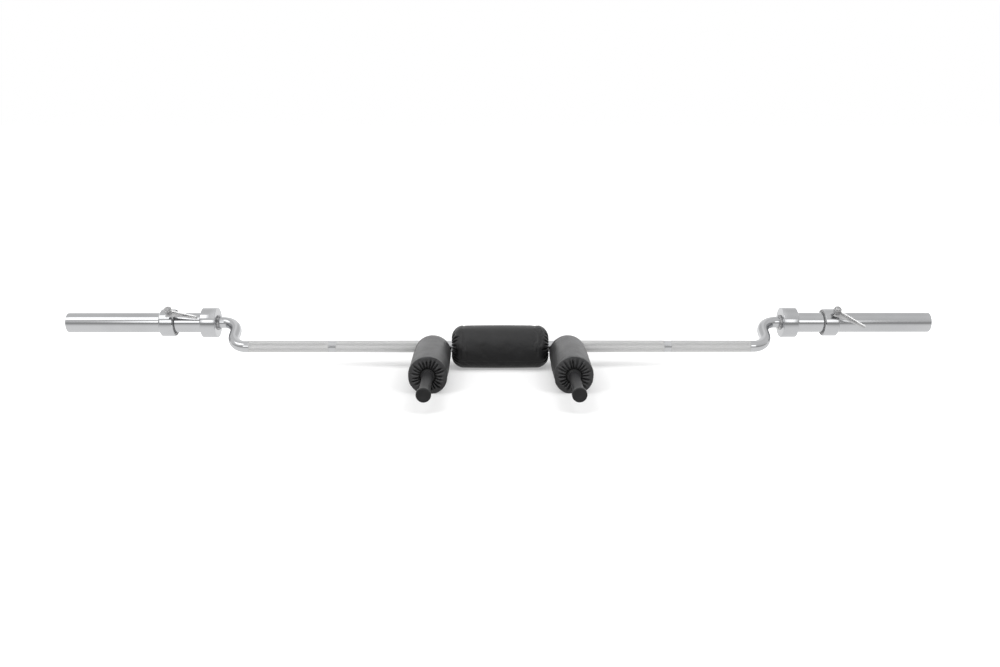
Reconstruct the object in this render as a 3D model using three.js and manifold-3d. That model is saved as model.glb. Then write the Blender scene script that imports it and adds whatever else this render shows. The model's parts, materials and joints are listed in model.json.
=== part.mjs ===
// A safety squat bar: a cranked chrome bar with two plate sleeves, a lever collar on each
// sleeve, a round neck pad on the bar and two padded arms that end in hand grips.
// Millimetres. +X runs along the bar, -Y is the front, where the arms reach, +Z is up.
// The origin is at the middle of the footprint, on the floor that the pads rest on.

import * as THREE from 'three';
import { mergeVertices } from 'three/addons/utils/BufferGeometryUtils.js';
import Module from 'manifold-3d';

const wasm = await Module();
wasm.setup();

// Fits between pieces
const contactGap = 0.3;
const slideGap = 0.45;
const cutOverrun = 2;

// The bar
const barLength = 2134;
const barDiameter = 28;
const knurlHeight = 0.4;
const knurlMarkSpacing = 810;
const knurlMarkWidth = 17;
const knurlInnerSpacing = 380;
const knurlOuterMargin = 1;
const bendRadius = 34;
const bendAngle = THREE.MathUtils.degToRad(92);
const stubLength = 15;
const stubInsert = 22;

// The sleeves and their flanges
const sleeveDiameter = 49.5;
const sleeveWall = 4;
const sleeveBack = 72;
const sleeveRise = 43;
const sleeveChamfer = 2.5;
const sleeveLoad = 332.5;
const flangeDiameter = 74.6;
const flangeWidth = 37.3;
const flangeWeb = 10;
const flangeChamfer = 2;
const flangeBeadWidth = 4.4;
const flangeBeadHeight = 4.2;
const spacerWidth = 12;
const spacerInset = 4;
const plugThickness = 6;
const plugRecess = 0.6;

// The lever collars
const collarDiameter = 68.2;
const collarWidth = 35;
const collarChamfer = 2.5;
const collarPlace = 66.5;
const screwLean = THREE.MathUtils.degToRad(39);
const screwOffset = 9;
const studDiameter = 9;
const studShoulderDiameter = 15;
const studShoulderHeight = 2.4;
const studShoulderLift = 2.6;
const shoeDiameter = 12;
const shoeThickness = 3.6;
const shoeClearance = 0.35;
const shoeTravel = 1;
const hubDiameter = 19;
const hubHeight = 12;
const hubLift = 7.5;
const hubRoof = 2.5;
const leverLength = 76;
const leverThickness = 4;
const leverRootWidth = 20;
const leverTipWidth = 3;
const leverRibWidth = 3.4;
const leverRibHeight = 8;
const leverSlotLength = 10;
const leverSlotWidth = 2.2;
const leverBoltDiameter = 15;
const leverBoltHeight = 3.4;
const leverTurns = { left: THREE.MathUtils.degToRad(15), right: THREE.MathUtils.degToRad(42) };

// The neck pad on the bar
const neckPad = {
  length: 229,
  radius: 50.5,
  crown: 1.3,
  endLength: 30,
  endPower: 2.3,
  mouthRadius: 19.2,
  pleatDepth: 1.2,
  pleats: 24,
  lowerPower: 2.5,
  lowerShare: 1,
};

// The shoulder pads on the arms
const padGap = 5;
const shoulderPad = {
  length: 202,
  radius: 44,
  crown: 0.9,
  endLength: 15,
  endPower: 2.8,
  mouthRadius: 18,
  pleatDepth: 1.4,
  pleats: 23,
  lowerPower: 2.15,
  lowerShare: 0.94,
};
const padPress = 0.5;
const padSkin = 1.5;
const padReach = 24;
const elasticThickness = 2.4;
const elasticRecess = 1.2;

// The arms and their grips
const armDiameter = 21;
const armCope = 6;
const armChamfer = 1.5;
const armBeadWidth = 9;
const armBeadHeight = 4;
const gripDiameter = 24.2;
const gripReach = 368;
const gripFlangeDiameter = 29;
const gripFlangeWidth = 4;
const gripCapDiameter = 32;
const gripCapWidth = 11;
const gripCapRound = 3;
const gripCapWall = 4;

// Places that follow from the sizes above
const halfLength = barLength / 2;
const flangeOuter = halfLength - sleeveLoad;
const flangeInner = flangeOuter - flangeWidth;
const barRadius = barDiameter / 2;
const knurlRadius = barRadius + knurlHeight;
const sleeveRadius = sleeveDiameter / 2;
const sleeveBore = sleeveRadius - sleeveWall;
const shaftHeight = axisHeight(neckPad);
const armHeight = axisHeight(shoulderPad);
const armSpacing = neckPad.length + padGap + 2 * shoulderPad.radius;
const armRadius = armDiameter / 2;
const barBore = barRadius + contactGap;
const padNear = padReach + shoulderPad.length;
const objectFront = gripReach;
const objectBack = sleeveBack + flangeDiameter / 2;
const barPlace = (objectFront - objectBack) / 2;
const collarInner = flangeOuter + collarPlace;
const collarBore = sleeveRadius + slideGap;
const collarRadius = collarDiameter / 2;
const studFoot = sleeveRadius + shoeClearance + shoeThickness + contactGap;
const hubBase = collarRadius + hubLift;
const hubTop = hubBase + hubHeight;
const studTop = hubTop - hubRoof - contactGap;

// How finely round things are cut
const roundSides = 32;
const barSides = 24;
const smallSides = 20;
const bendSteps = 22;
const elasticSides = 4;
const coreSides = 20;
const coverOuterTurns = [0, 0.2, 0.45, 0.72, 1];
const coverInnerTurns = [0, 0.4, 1];
const weldShare = 1e-4;

const chrome = { color: 0xc6c9cd, roughness: 0.14, metalness: 1 };
const weldSteel = { color: 0x8b8d8f, roughness: 0.5, metalness: 1 };
const castSteel = { color: 0xa9abae, roughness: 0.34, metalness: 1 };
const bareSteel = { color: 0x9a9c9f, roughness: 0.4, metalness: 1 };
const blackVinyl = { color: 0x1b1b1d, roughness: 0.42, metalness: 0 };
const greyVinyl = { color: 0x47484b, roughness: 0.62, metalness: 0 };
const foam = { color: 0x2e2e30, roughness: 0.95, metalness: 0 };
const elastic = { color: 0x111112, roughness: 0.85, metalness: 0 };
const gripRubber = { color: 0x2b2c2e, roughness: 0.55, metalness: 0 };
const shoePlastic = { color: 0x232325, roughness: 0.6, metalness: 0 };

// Merges shared corners, drops the empty triangles at a pole and turns the faces outward.
function closeShell(geometry) {
  geometry.deleteAttribute('normal');
  geometry.deleteAttribute('uv');
  const merged = mergeVertices(geometry, weldShare);
  const place = merged.getAttribute('position');
  const corners = merged.getIndex().array;
  const kept = [];
  let sixVolumes = 0;
  for (let i = 0; i < corners.length; i += 3) {
    const [a, b, c] = [corners[i], corners[i + 1], corners[i + 2]];
    if (a === b || b === c || c === a) continue;
    const first = new THREE.Vector3().fromBufferAttribute(place, a);
    const second = new THREE.Vector3().fromBufferAttribute(place, b);
    const third = new THREE.Vector3().fromBufferAttribute(place, c);
    sixVolumes += first.dot(second.cross(third));
    kept.push(a, b, c);
  }
  if (sixVolumes < 0) kept.reverse();
  merged.setIndex(kept);
  return merged;
}

// Solid of revolution about +X from [station, radius] pairs that close on themselves or on the axis.
function turnedAlongBar(pairs, sides = roundSides) {
  const outline = pairs.map(([station, radius]) => new THREE.Vector2(radius, station));
  const geometry = new THREE.LatheGeometry(outline, sides);
  geometry.rotateZ(-Math.PI / 2);
  return closeShell(geometry);
}

// The same about -Y, for the arms: a station is the distance in front of the bar.
function turnedForward(pairs, sides = roundSides) {
  const outline = pairs.map(([station, radius]) => new THREE.Vector2(radius, -station));
  return closeShell(new THREE.LatheGeometry(outline, sides));
}

// The same about +Z, for the clamp screw's pieces: a station is the distance from the sleeve's axis.
function turnedUpward(pairs, sides = smallSides) {
  const outline = pairs.map(([station, radius]) => new THREE.Vector2(radius, station));
  const geometry = new THREE.LatheGeometry(outline, sides);
  geometry.rotateX(Math.PI / 2);
  return closeShell(geometry);
}

function asManifold(geometry) {
  const mesh = new wasm.Mesh({
    numProp: 3,
    vertProperties: new Float32Array(geometry.getAttribute('position').array),
    triVerts: new Uint32Array(geometry.getIndex().array),
  });
  return new wasm.Manifold(mesh);
}

function asGeometry(manifold) {
  const mesh = manifold.getMesh();
  const geometry = new THREE.BufferGeometry();
  geometry.setAttribute('position', new THREE.BufferAttribute(new Float32Array(mesh.vertProperties), 3));
  geometry.setIndex(new THREE.BufferAttribute(new Uint32Array(mesh.triVerts), 1));
  return geometry;
}

function joined(...geometries) {
  const solids = geometries.map(asManifold);
  return asGeometry(solids.reduce((sum, next) => sum.add(next)));
}

function cut(geometry, ...tools) {
  const solids = tools.map(asManifold);
  return asGeometry(solids.reduce((rest, tool) => rest.subtract(tool), asManifold(geometry)));
}

function piece(name, geometry, finish) {
  geometry.computeVertexNormals();
  const mesh = new THREE.Mesh(geometry, new THREE.MeshStandardMaterial(finish));
  mesh.name = name;
  return mesh;
}

// Ring or tube section from one station to another, with the outer edges broken.
function tubePairs(from, to, inner, outer, startBreak, endBreak) {
  const run = Math.sign(to - from);
  return [
    [from, inner],
    [from, outer - startBreak],
    [from + run * startBreak, outer],
    [to - run * endBreak, outer],
    [to, outer - endBreak],
    [to, inner],
    [from, inner],
  ];
}

function rodPairs(from, to, radius, endBreak) {
  const run = Math.sign(to - from);
  return [
    [from, 0],
    [from, radius],
    [to - run * endBreak, radius],
    [to, radius - endBreak],
    [to, 0],
  ];
}

// One cranked end of the bar: out along the shaft, round two bends, out along the sleeve's axis.
class CrankedEnd extends THREE.Curve {
  constructor(side) {
    super();
    this.side = side;
    this.offset = Math.hypot(sleeveBack, sleeveRise);
    this.across = new THREE.Vector3(0, sleeveBack / this.offset, sleeveRise / this.offset);
    this.arc = bendRadius * bendAngle;
    this.bendDrop = bendRadius * (1 - Math.cos(bendAngle));
    this.bendRun = bendRadius * Math.sin(bendAngle);
    this.middle = (this.offset - 2 * this.bendDrop) / Math.sin(bendAngle);
    this.middleRun = this.middle * Math.cos(bendAngle);
    this.bendStart = flangeInner - stubLength - 2 * this.bendRun - this.middleRun;
    this.lead = knurlOuterMargin + cutOverrun;
    this.tail = stubLength + flangeWidth + stubInsert;
    this.total = this.lead + 2 * this.arc + this.middle + this.tail;
  }

  // Along and across the bar after a length of the cranked end, measured from the first bend.
  flat(length) {
    if (length < 0) return [length, 0];
    if (length < this.arc) {
      const turn = length / bendRadius;
      return [bendRadius * Math.sin(turn), bendRadius * (1 - Math.cos(turn))];
    }
    const past = length - this.arc;
    if (past < this.middle) {
      return [this.bendRun + past * Math.cos(bendAngle), this.bendDrop + past * Math.sin(bendAngle)];
    }
    const second = past - this.middle;
    if (second < this.arc) {
      const turn = bendAngle - second / bendRadius;
      const run = 2 * this.bendRun + this.middleRun - bendRadius * Math.sin(turn);
      return [run, this.offset - bendRadius * (1 - Math.cos(turn))];
    }
    return [2 * this.bendRun + this.middleRun + second - this.arc, this.offset];
  }

  getPoint(share, target = new THREE.Vector3()) {
    const [along, across] = this.flat(share * this.total - this.lead);
    return target.copy(this.across).multiplyScalar(across).setX(this.side * (this.bendStart + along));
  }
}

// The bar is one bent rod: knurled from the pads to the bends, but for a smooth mark on each side.
function barGeometry() {
  const knurlEnd = new CrankedEnd(1).bendStart - knurlOuterMargin;
  const markOuter = (knurlMarkSpacing + knurlMarkWidth) / 2;
  const markInner = (knurlMarkSpacing - knurlMarkWidth) / 2;
  const knurlStart = knurlInnerSpacing / 2;
  const half = [
    [knurlStart, barRadius],
    [knurlStart, knurlRadius],
    [markInner, knurlRadius],
    [markInner, barRadius],
    [markOuter, barRadius],
    [markOuter, knurlRadius],
    [knurlEnd, knurlRadius],
    [knurlEnd, 0],
  ];
  const mirrored = half.map(([station, radius]) => [-station, radius]).reverse();
  const circle = [];
  for (let i = 0; i < barSides; i += 1) {
    const turn = (i / barSides) * 2 * Math.PI;
    circle.push(new THREE.Vector2(barRadius * Math.cos(turn), barRadius * Math.sin(turn)));
  }
  const ends = [-1, 1].map((side) => closeShell(new THREE.ExtrudeGeometry(new THREE.Shape(circle), {
    steps: bendSteps,
    bevelEnabled: false,
    extrudePath: new CrankedEnd(side),
  })));
  return joined(turnedAlongBar([...mirrored, ...half], barSides), ...ends);
}

function buildSleeve(side, word) {
  const group = new THREE.Group();
  group.position.set(0, sleeveBack, shaftHeight + sleeveRise);
  const tubeStart = flangeInner + flangeWeb + contactGap;
  const tube = tubePairs(side * tubeStart, side * halfLength, sleeveBore, sleeveRadius, 0, sleeveChamfer);
  group.add(piece(`${word}_sleeve_tube`, turnedAlongBar(tube), chrome));

  const flange = [
    [flangeInner, barBore],
    [flangeInner, flangeDiameter / 2 - flangeChamfer],
    [flangeInner + flangeChamfer, flangeDiameter / 2],
    [flangeOuter - flangeChamfer, flangeDiameter / 2],
    [flangeOuter, flangeDiameter / 2 - flangeChamfer],
    [flangeOuter, sleeveRadius + contactGap],
    [flangeInner + flangeWeb, sleeveRadius + contactGap],
    [flangeInner + flangeWeb, barBore],
    [flangeInner, barBore],
  ].map(([station, radius]) => [side * station, radius]);
  group.add(piece(`${word}_plate_flange`, turnedAlongBar(flange), chrome));

  const beadFoot = flangeInner - contactGap;
  const bead = [
    [beadFoot, barBore],
    [beadFoot, barBore + flangeBeadHeight],
    [beadFoot - flangeBeadWidth * 0.7, barBore + flangeBeadHeight * 0.6],
    [beadFoot - flangeBeadWidth, barBore],
    [beadFoot, barBore],
  ].map(([station, radius]) => [side * station, radius]);
  group.add(piece(`${word}_flange_weld`, turnedAlongBar(bead, smallSides), weldSteel));

  const spacerStart = flangeOuter + stubInsert - spacerInset - spacerWidth;
  const spacer = tubePairs(side * spacerStart, side * (spacerStart + spacerWidth), barBore, sleeveBore - contactGap, 0, 0);
  group.add(piece(`${word}_sleeve_spacer`, turnedAlongBar(spacer, smallSides), bareSteel));

  const plugEnd = halfLength - plugRecess;
  const plug = rodPairs(side * (plugEnd - plugThickness), side * plugEnd, sleeveBore - contactGap, 0);
  group.add(piece(`${word}_sleeve_plug`, turnedAlongBar(plug, smallSides), chrome));
  group.add(buildCollar(side, word));
  return group;
}

// The collar slides on the sleeve. Its screw leans forward from straight up and is drilled
// radially; under the screw a loose shoe presses on the sleeve.
function buildCollar(side, word) {
  const collar = new THREE.Group();
  collar.position.x = side * (collarInner + collarWidth / 2);
  const half = collarWidth / 2;
  const body = tubePairs(-half, half, collarBore, collarRadius, collarChamfer, collarChamfer);
  const studHole = rodPairs(0, collarRadius + cutOverrun, studDiameter / 2 + contactGap, 0);
  const shoeHole = rodPairs(0, studFoot + shoeTravel + contactGap, shoeDiameter / 2 + contactGap, 0);
  const tools = [studHole, shoeHole].map((pairs) => {
    const tool = turnedUpward(pairs);
    tool.translate(screwOffset, 0, 0);
    tool.rotateX(screwLean);
    return tool;
  });
  collar.add(piece(`${word}_collar_ring`, cut(turnedAlongBar(body), ...tools), chrome));

  const screw = new THREE.Group();
  screw.rotation.x = screwLean;
  collar.add(screw);
  const axis = new THREE.Group();
  axis.position.x = screwOffset;
  axis.rotation.z = -leverTurns[word];
  screw.add(axis);

  const shoeFoot = sleeveRadius + shoeClearance;
  const shoe = rodPairs(shoeFoot, shoeFoot + shoeThickness, shoeDiameter / 2, 0);
  axis.add(piece(`${word}_collar_shoe`, turnedUpward(shoe), shoePlastic));

  const shoulderFoot = collarRadius + studShoulderLift;
  const shoulderTop = shoulderFoot + studShoulderHeight;
  const stud = [
    [studFoot, 0],
    [studFoot, studDiameter / 2],
    [shoulderFoot, studDiameter / 2],
    [shoulderFoot, studShoulderDiameter / 2],
    [shoulderTop, studShoulderDiameter / 2],
    [shoulderTop, studDiameter / 2],
    [studTop, studDiameter / 2],
    [studTop, 0],
  ];
  axis.add(piece(`${word}_clamp_screw`, turnedUpward(stud), castSteel));
  axis.add(piece(`${word}_clamp_lever`, leverGeometry(), castSteel));

  const boltFoot = hubTop + contactGap;
  const bolt = [
    [boltFoot, 0],
    [boltFoot, leverBoltDiameter / 2],
    [boltFoot + leverBoltHeight / 3, leverBoltDiameter / 2],
    [boltFoot + leverBoltHeight * 0.8, leverBoltDiameter * 0.36],
    [boltFoot + leverBoltHeight, 0],
  ];
  axis.add(piece(`${word}_lever_cap`, turnedUpward(bolt), castSteel));
  return collar;
}

function outline(places) {
  return new THREE.Shape(places.map(([x, y]) => new THREE.Vector2(x, y)));
}

function slab(shape, from, height) {
  const geometry = new THREE.ExtrudeGeometry(shape, { depth: height, bevelEnabled: false });
  geometry.translate(0, 0, from);
  return closeShell(geometry);
}

// The lever is a tapered web with a rib along its straight edge and a slot, on a round hub.
function leverGeometry() {
  const widthShares = [[0.02, 0.9], [0.28, 0.5], [0.62, 0.32], [1, leverTipWidth / leverRootWidth]];
  const webEdge = widthShares.map(([along, width]) => [along * leverLength, -width * leverRootWidth]);
  const web = outline([...webEdge, [leverLength, 0], [0, 0]]);
  const ribHalf = leverRibWidth / 2;
  const rib = outline([[0, -ribHalf], [leverLength, -ribHalf], [leverLength, ribHalf], [0, ribHalf]]);
  const webFoot = hubBase + contactGap;
  const hub = turnedUpward([[hubBase, 0], [hubBase, hubDiameter / 2], [hubTop, hubDiameter / 2], [hubTop, 0]]);
  const slotStart = leverLength * 0.53;
  const slotLow = -leverRootWidth * 0.235;
  const slot = outline([
    [slotStart, slotLow],
    [slotStart + leverSlotLength, slotLow],
    [slotStart + leverSlotLength, slotLow + leverSlotWidth],
    [slotStart, slotLow + leverSlotWidth],
  ]);
  const studBore = turnedUpward(rodPairs(hubBase - cutOverrun, studTop + contactGap, studDiameter / 2 + contactGap, 0));
  const whole = joined(hub, slab(web, webFoot, leverThickness), slab(rib, webFoot, leverRibHeight));
  return cut(whole, slab(slot, webFoot - cutOverrun, leverThickness + 2 * cutOverrun), studBore);
}

// Skin over a closed loop of rings that all have the same number of corners.
function ringShell(rings) {
  const count = rings[0].length;
  const places = [];
  const faces = [];
  rings.forEach((ring, i) => {
    const next = (i + 1) % rings.length;
    ring.forEach((corner, j) => {
      const beside = (j + 1) % count;
      places.push(corner.x, corner.y, corner.z);
      faces.push(i * count + j, next * count + j, next * count + beside);
      faces.push(i * count + j, next * count + beside, i * count + beside);
    });
  });
  const geometry = new THREE.BufferGeometry();
  geometry.setAttribute('position', new THREE.Float32BufferAttribute(places, 3));
  geometry.setIndex(faces);
  return closeShell(geometry);
}

// A pad rests on its lower half, which its load has settled to a share of the full radius.
function axisHeight(pad) {
  return pad.radius * pad.lowerShare - padPress;
}

// Round section of a pad: a circle above, squarer and settled below, where it lies on the floor.
function padCorner(pad, turn, station, radius, floor) {
  const cosine = Math.cos(turn);
  const sine = Math.sin(turn);
  if (sine >= 0) return new THREE.Vector3(station, radius * cosine, radius * sine);
  const power = 2 / pad.lowerPower;
  const sideways = Math.sign(cosine) * radius * Math.abs(cosine) ** power;
  const settled = (pad.radius * pad.lowerShare - pad.mouthRadius) / (pad.radius - pad.mouthRadius);
  const drop = (pad.mouthRadius + (radius - pad.mouthRadius) * settled) * Math.abs(sine) ** power;
  return new THREE.Vector3(station, sideways, -Math.min(drop, floor));
}

// Stations, radii and pleat weights over the pad from one mouth to the other. Each end is a
// superellipse: radius = mouth + (full - mouth) sin^(2/p), station = half - end (1 - cos^(2/p)).
function padRun(pad, inset, endInset, endTurns, middleShares) {
  const half = pad.length / 2 - endInset;
  const straight = half - pad.endLength;
  const full = (station) => pad.radius - inset - pad.crown * (station / half) ** 2;
  const power = 2 / pad.endPower;
  const end = endTurns.map((turn) => {
    const angle = (turn * Math.PI) / 2;
    const station = straight + pad.endLength * Math.cos(angle) ** power;
    const radius = pad.mouthRadius + (full(station) - pad.mouthRadius) * Math.sin(angle) ** power;
    return { station, radius, pleat: Math.cos(angle) };
  });
  const middle = middleShares.map((share) => ({ station: share * straight, radius: full(share * straight), pleat: 0 }));
  const start = end.map((ring) => ({ ...ring, station: -ring.station }));
  return [...start, ...middle, ...end.slice().reverse()];
}

// The cover is a sewn tube of vinyl, gathered in pleats round the elastic at both mouths.
function coverGeometry(pad, place) {
  const corners = 2 * pad.pleats;
  const floor = axisHeight(pad);
  const outer = padRun(pad, 0, 0, coverOuterTurns, [0]);
  const inner = padRun(pad, padSkin, padSkin + pad.pleatDepth, coverInnerTurns, []).reverse();
  const ringOf = (run, ground, depth) => {
    const ring = [];
    for (let i = 0; i < corners; i += 1) {
      const sunk = i % 2 === 0 ? 0 : depth * run.pleat;
      const station = run.station - Math.sign(run.station) * sunk;
      ring.push(place(padCorner(pad, (i / corners) * 2 * Math.PI, station, run.radius - sunk * (1 - run.pleat), ground)));
    }
    return ring;
  };
  return ringShell([
    ...outer.map((run) => ringOf(run, floor, pad.pleatDepth)),
    ...inner.map((run) => ringOf(run, floor - padSkin, 0)),
  ]);
}

// The foam inside a cover: the same form, one skin and a gap smaller, with the bar's bore through it.
function coreGeometry(pad, bore, place) {
  const inset = padSkin + contactGap;
  const endInset = elasticRecess + elasticThickness + contactGap;
  const floor = axisHeight(pad) - inset;
  const skin = padRun(pad, inset, endInset, coverInnerTurns, []);
  const half = pad.length / 2 - endInset;
  return ringShell([{ station: -half, radius: bore }, ...skin, { station: half, radius: bore }].map((run) => {
    const ring = [];
    for (let i = 0; i < coreSides; i += 1) {
      const turn = (i / coreSides) * 2 * Math.PI;
      const round = new THREE.Vector3(run.station, run.radius * Math.cos(turn), run.radius * Math.sin(turn));
      ring.push(place(run.radius > bore ? padCorner(pad, turn, run.station, run.radius, floor) : round));
    }
    return ring;
  }));
}

// Elastic cord round a mouth: its outside lies just inside the gathered edge of the cover.
function elasticPairs(pad, station) {
  const section = elasticThickness / 2;
  const middle = pad.mouthRadius - contactGap - section;
  const pairs = [];
  for (let i = 0; i <= elasticSides; i += 1) {
    const turn = ((i % elasticSides) / elasticSides) * 2 * Math.PI;
    pairs.push([station + section * Math.sin(turn), middle + section * Math.cos(turn)]);
  }
  return pairs;
}

function buildNeckPad() {
  const group = new THREE.Group();
  group.position.z = shaftHeight;
  const along = (corner) => corner;
  group.add(piece('neck_pad_cover', coverGeometry(neckPad, along), blackVinyl));
  group.add(piece('neck_pad_foam', coreGeometry(neckPad, barBore, along), foam));
  for (const [side, word] of [[-1, 'left'], [1, 'right']]) {
    const station = side * (neckPad.length / 2 - elasticRecess - elasticThickness / 2);
    const geometry = turnedAlongBar(elasticPairs(neckPad, station), smallSides);
    group.add(piece(`neck_pad_elastic_${word}`, geometry, elastic));
  }
  return group;
}

function buildArm(side, word) {
  const arm = new THREE.Group();
  arm.position.set((side * armSpacing) / 2, 0, armHeight);
  const drop = shaftHeight - armHeight;
  const saddle = turnedAlongBar(rodPairs(-flangeDiameter, flangeDiameter, barBore, 0));
  saddle.translate(0, 0, drop);
  const rodEnd = gripReach - gripCapWall;
  const rod = turnedForward(rodPairs(armCope, rodEnd, armRadius, armChamfer), smallSides);
  arm.add(piece(`${word}_arm`, cut(rod, saddle), chrome));

  const beadEnd = armCope + armBeadWidth;
  const armBore = armRadius + contactGap;
  const bead = turnedForward([
    [armCope, armBore],
    [armCope, armBore + armBeadHeight],
    [beadEnd - armBeadHeight / 2, armBore + armBeadHeight / 2],
    [beadEnd, armBore],
    [armCope, armBore],
  ], smallSides);
  arm.add(piece(`${word}_arm_weld`, cut(bead, saddle), weldSteel));

  const middle = padReach + shoulderPad.length / 2;
  const forward = (corner) => new THREE.Vector3(corner.y, -middle - corner.x, corner.z);
  arm.add(piece(`${word}_shoulder_cover`, coverGeometry(shoulderPad, forward), greyVinyl));
  arm.add(piece(`${word}_shoulder_foam`, coreGeometry(shoulderPad, armBore, forward), foam));
  const mouthInset = elasticRecess + elasticThickness / 2;
  const stations = { rear: padReach + mouthInset, front: padNear - mouthInset };
  for (const [end, station] of Object.entries(stations)) {
    const geometry = turnedForward(elasticPairs(shoulderPad, station), smallSides);
    arm.add(piece(`${word}_shoulder_elastic_${end}`, geometry, elastic));
  }

  const gripStart = padNear - elasticRecess - elasticThickness;
  const capStart = gripReach - gripCapWidth;
  const grip = turnedForward([
    [gripStart, armBore],
    [gripStart, gripFlangeDiameter / 2],
    [gripStart + gripFlangeWidth, gripFlangeDiameter / 2],
    [gripStart + gripFlangeWidth, gripDiameter / 2],
    [capStart, gripDiameter / 2],
    [capStart, gripCapDiameter / 2 - gripCapRound / 2],
    [capStart + gripCapRound / 2, gripCapDiameter / 2],
    [gripReach - gripCapRound, gripCapDiameter / 2],
    [gripReach - gripCapRound / 3, gripCapDiameter / 2 - gripCapRound / 3],
    [gripReach, gripCapDiameter / 2 - gripCapRound],
    [gripReach, 0],
    [rodEnd + contactGap, 0],
    [rodEnd + contactGap, armBore],
    [gripStart, armBore],
  ], barSides);
  arm.add(piece(`${word}_grip`, grip, gripRubber));
  return arm;
}

const squatBar = new THREE.Group();
squatBar.position.y = barPlace;
const bar = piece('bar_shaft', barGeometry(), chrome);
bar.position.z = shaftHeight;
squatBar.add(bar);
squatBar.add(buildNeckPad());
for (const [side, word] of [[-1, 'left'], [1, 'right']]) {
  squatBar.add(buildSleeve(side, word));
  squatBar.add(buildArm(side, word));
}

export default squatBar;
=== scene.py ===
import json
import math

import bmesh
import bpy
import numpy as np
from mathutils import Matrix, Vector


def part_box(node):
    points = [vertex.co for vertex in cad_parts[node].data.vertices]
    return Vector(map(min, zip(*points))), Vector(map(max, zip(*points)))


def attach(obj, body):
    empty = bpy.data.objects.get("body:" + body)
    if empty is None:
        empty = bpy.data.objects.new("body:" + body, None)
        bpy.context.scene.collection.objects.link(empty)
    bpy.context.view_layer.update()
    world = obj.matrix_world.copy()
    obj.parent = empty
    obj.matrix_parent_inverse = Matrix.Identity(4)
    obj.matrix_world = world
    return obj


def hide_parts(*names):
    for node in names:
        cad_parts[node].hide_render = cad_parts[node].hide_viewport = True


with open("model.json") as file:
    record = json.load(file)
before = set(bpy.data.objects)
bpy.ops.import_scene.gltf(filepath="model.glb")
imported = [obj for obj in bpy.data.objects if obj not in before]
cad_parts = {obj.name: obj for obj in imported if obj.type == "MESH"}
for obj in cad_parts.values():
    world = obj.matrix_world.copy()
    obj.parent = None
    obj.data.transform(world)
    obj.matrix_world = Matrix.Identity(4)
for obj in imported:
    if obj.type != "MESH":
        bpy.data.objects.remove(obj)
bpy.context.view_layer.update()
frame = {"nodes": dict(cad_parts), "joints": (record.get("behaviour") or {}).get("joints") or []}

# Looks of a squat bar with padded arms: chrome, knurling, welds, cast levers, vinyl covers and rubber grips.
# Metres. +X runs along the bar, -Y is the front, +Z is up. Left is the -X side.

sides = ((-1, "left"), (1, "right"))


# Node trees

def mathsPair(operation):  # an operator and its reflected form, so that 1 - mask works
    def plain(self, other):
        return self.maths(operation, self, other)

    def reflected(self, other):
        return self.maths(operation, other, self)

    return plain, reflected


class Wire:  # an output in a node tree; an expression on it adds Math nodes
    def __init__(self, tree, socket):
        self.tree = tree
        self.socket = socket

    def maths(self, operation, first, second):
        return addNode(self.tree, "ShaderNodeMath", {"operation": operation}, [first, second])

    __add__, __radd__ = mathsPair("ADD")
    __sub__, __rsub__ = mathsPair("SUBTRACT")
    __mul__, __rmul__ = mathsPair("MULTIPLY")
    __truediv__, __rtruediv__ = mathsPair("DIVIDE")

    def between(self, low, high):  # 0 at low and below, 1 at high and above
        settings = {"interpolation_type": "SMOOTHSTEP"}
        return addNode(self.tree, "ShaderNodeMapRange", settings, {"Value": self, 1: low, 2: high})


def addNode(tree, kind, settings, inputs, output=0):
    node = tree.nodes.new(kind)
    for key, value in settings.items():
        if key == "stops":
            while len(node.color_ramp.elements) < len(value):
                node.color_ramp.elements.new(0.5)
            for element, (place, level) in zip(node.color_ramp.elements, value):
                element.position = place
                element.color = (level, level, level, 1.0)
        else:
            setattr(node, key, value)
    pairs = inputs.items() if isinstance(inputs, dict) else enumerate(inputs)
    for key, value in pairs:
        if isinstance(value, Wire):
            tree.links.new(value.socket, node.inputs[key])
        else:
            node.inputs[key].default_value = value
    return Wire(tree, node.outputs[output]) if len(node.outputs) else None


class Finish:  # a material whose patterns read object coordinates
    def __init__(self, name):
        self.material = bpy.data.materials.new(name)
        self.material.use_nodes = True
        self.tree = self.material.node_tree
        self.tree.nodes.clear()
        self.place = self.add("ShaderNodeTexCoord", {}, {}, "Object")

    def add(self, kind, settings, inputs, output=0):
        return addNode(self.tree, kind, settings, inputs, output)

    def noise(self, scale, detail=3.0, stretch=(1, 1, 1), roughness=0.5):
        place = self.add("ShaderNodeMapping", {}, {"Vector": self.place, "Scale": stretch})
        inputs = {"Vector": place, "Scale": scale, "Detail": detail, "Roughness": roughness}
        return self.add("ShaderNodeTexNoise", {}, inputs)

    def cells(self, scale):  # distance to the edge of the cell
        inputs = {"Vector": self.place, "Scale": scale}
        return self.add("ShaderNodeTexVoronoi", {"feature": "DISTANCE_TO_EDGE"}, inputs, "Distance")

    def colour(self, share, first, second):
        inputs = {"Factor": share, 6: (*first, 1.0), 7: (*second, 1.0)}
        return self.add("ShaderNodeMix", {"data_type": "RGBA"}, inputs, 2)

    def bump(self, height, strength, distance):
        return self.add("ShaderNodeBump", {}, {"Height": height, "Strength": strength, "Distance": distance})

    def surface(self, shader):
        self.add("ShaderNodeOutputMaterial", {}, {"Surface": shader})
        return self.material

    def principled(self, sockets):
        return self.surface(self.add("ShaderNodeBsdfPrincipled", {}, sockets))


# Mesh tools

def linked(name, data):
    made = bpy.data.objects.new(name, data)
    bpy.context.scene.collection.objects.link(made)
    return made


def modified(blank):  # the object's mesh with its modifiers applied
    return bpy.data.meshes.new_from_object(blank.evaluated_get(bpy.context.evaluated_depsgraph_get()))


def unit(vector):
    return vector / np.linalg.norm(vector)


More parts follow.
